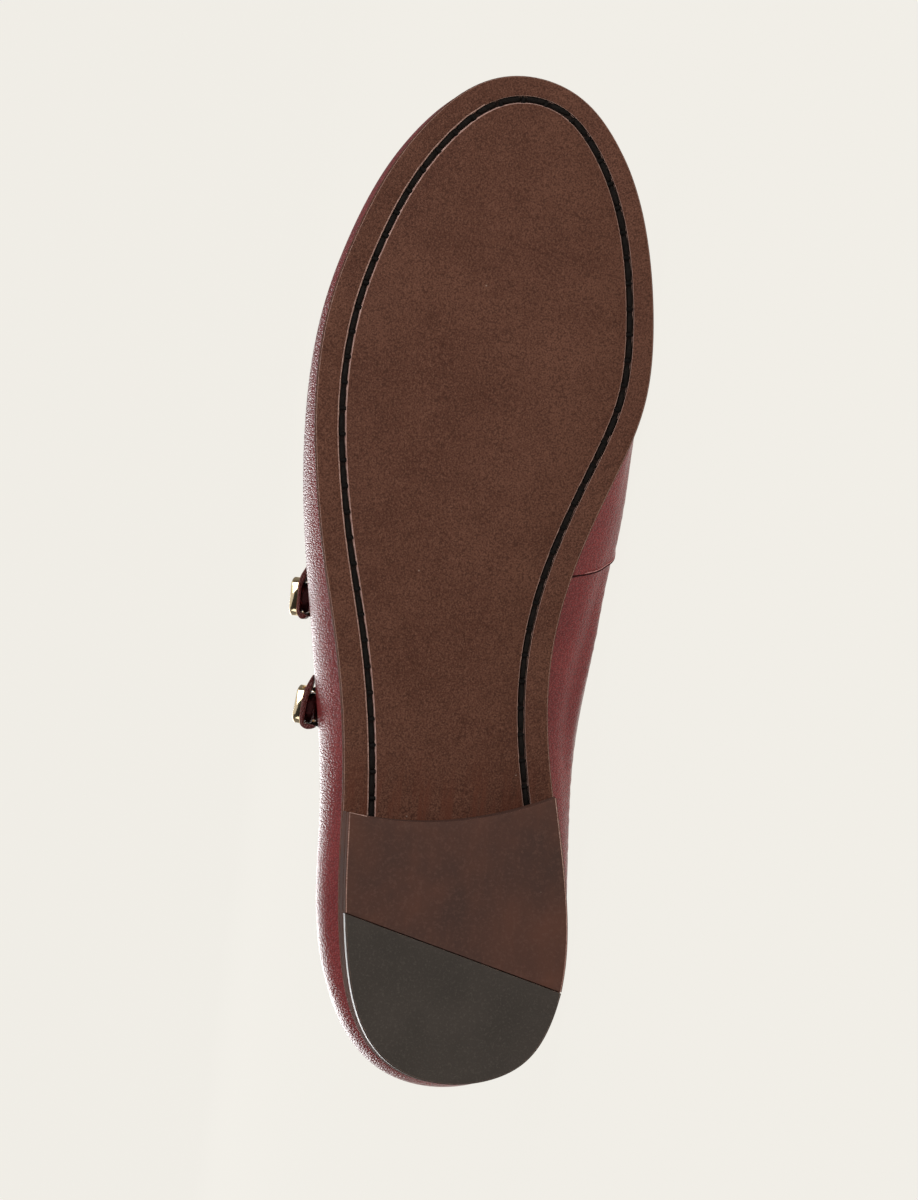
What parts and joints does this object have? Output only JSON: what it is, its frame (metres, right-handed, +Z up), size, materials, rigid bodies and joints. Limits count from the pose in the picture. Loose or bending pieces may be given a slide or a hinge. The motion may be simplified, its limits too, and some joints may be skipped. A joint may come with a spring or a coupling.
{
  "type": "mary jane shoe",
  "caption": "Right flat mary jane shoe with a rounded toe, low stacked heel, open instep and buckled instep straps, lying on its inner side.",
  "frame": {"origin": "centre of the overall box in X and Y, on the floor that the shoe's inner side lies on", "axes": "+X towards the toe, -Y the way the sole faces, +Z up, towards the shoe's outer side"},
  "size_m": [0.2558, 0.0656, 0.0842],
  "materials": {
    "sole_leather": "brown sole leather, lightly scuffed and satin",
    "stack_leather": "dark brown heel leather, satin",
    "rubber": "dark brown rubber, matte",
    "upper_leather": "burgundy leather, fine grain, soft sheen",
    "lining_leather": "tan lining leather, matte",
    "gold": "polished pale gold plating"
  },
  "bodies": {
    "root": {"outsole": "sole_leather", "heel_stack": "stack_leather", "top_piece": "stack_leather", "rubber_tip": "rubber", "insole": "lining_leather", "upper": "upper_leather", "strap_front": "upper_leather", "tab_front": "upper_leather", "buckle_front": "gold", "pin_front": "gold", "keeper_front": "upper_leather", "strap_rear": "upper_leather", "tab_rear": "upper_leather", "buckle_rear": "gold", "pin_rear": "gold", "keeper_rear": "upper_leather"}
  },
  "joints": []
}
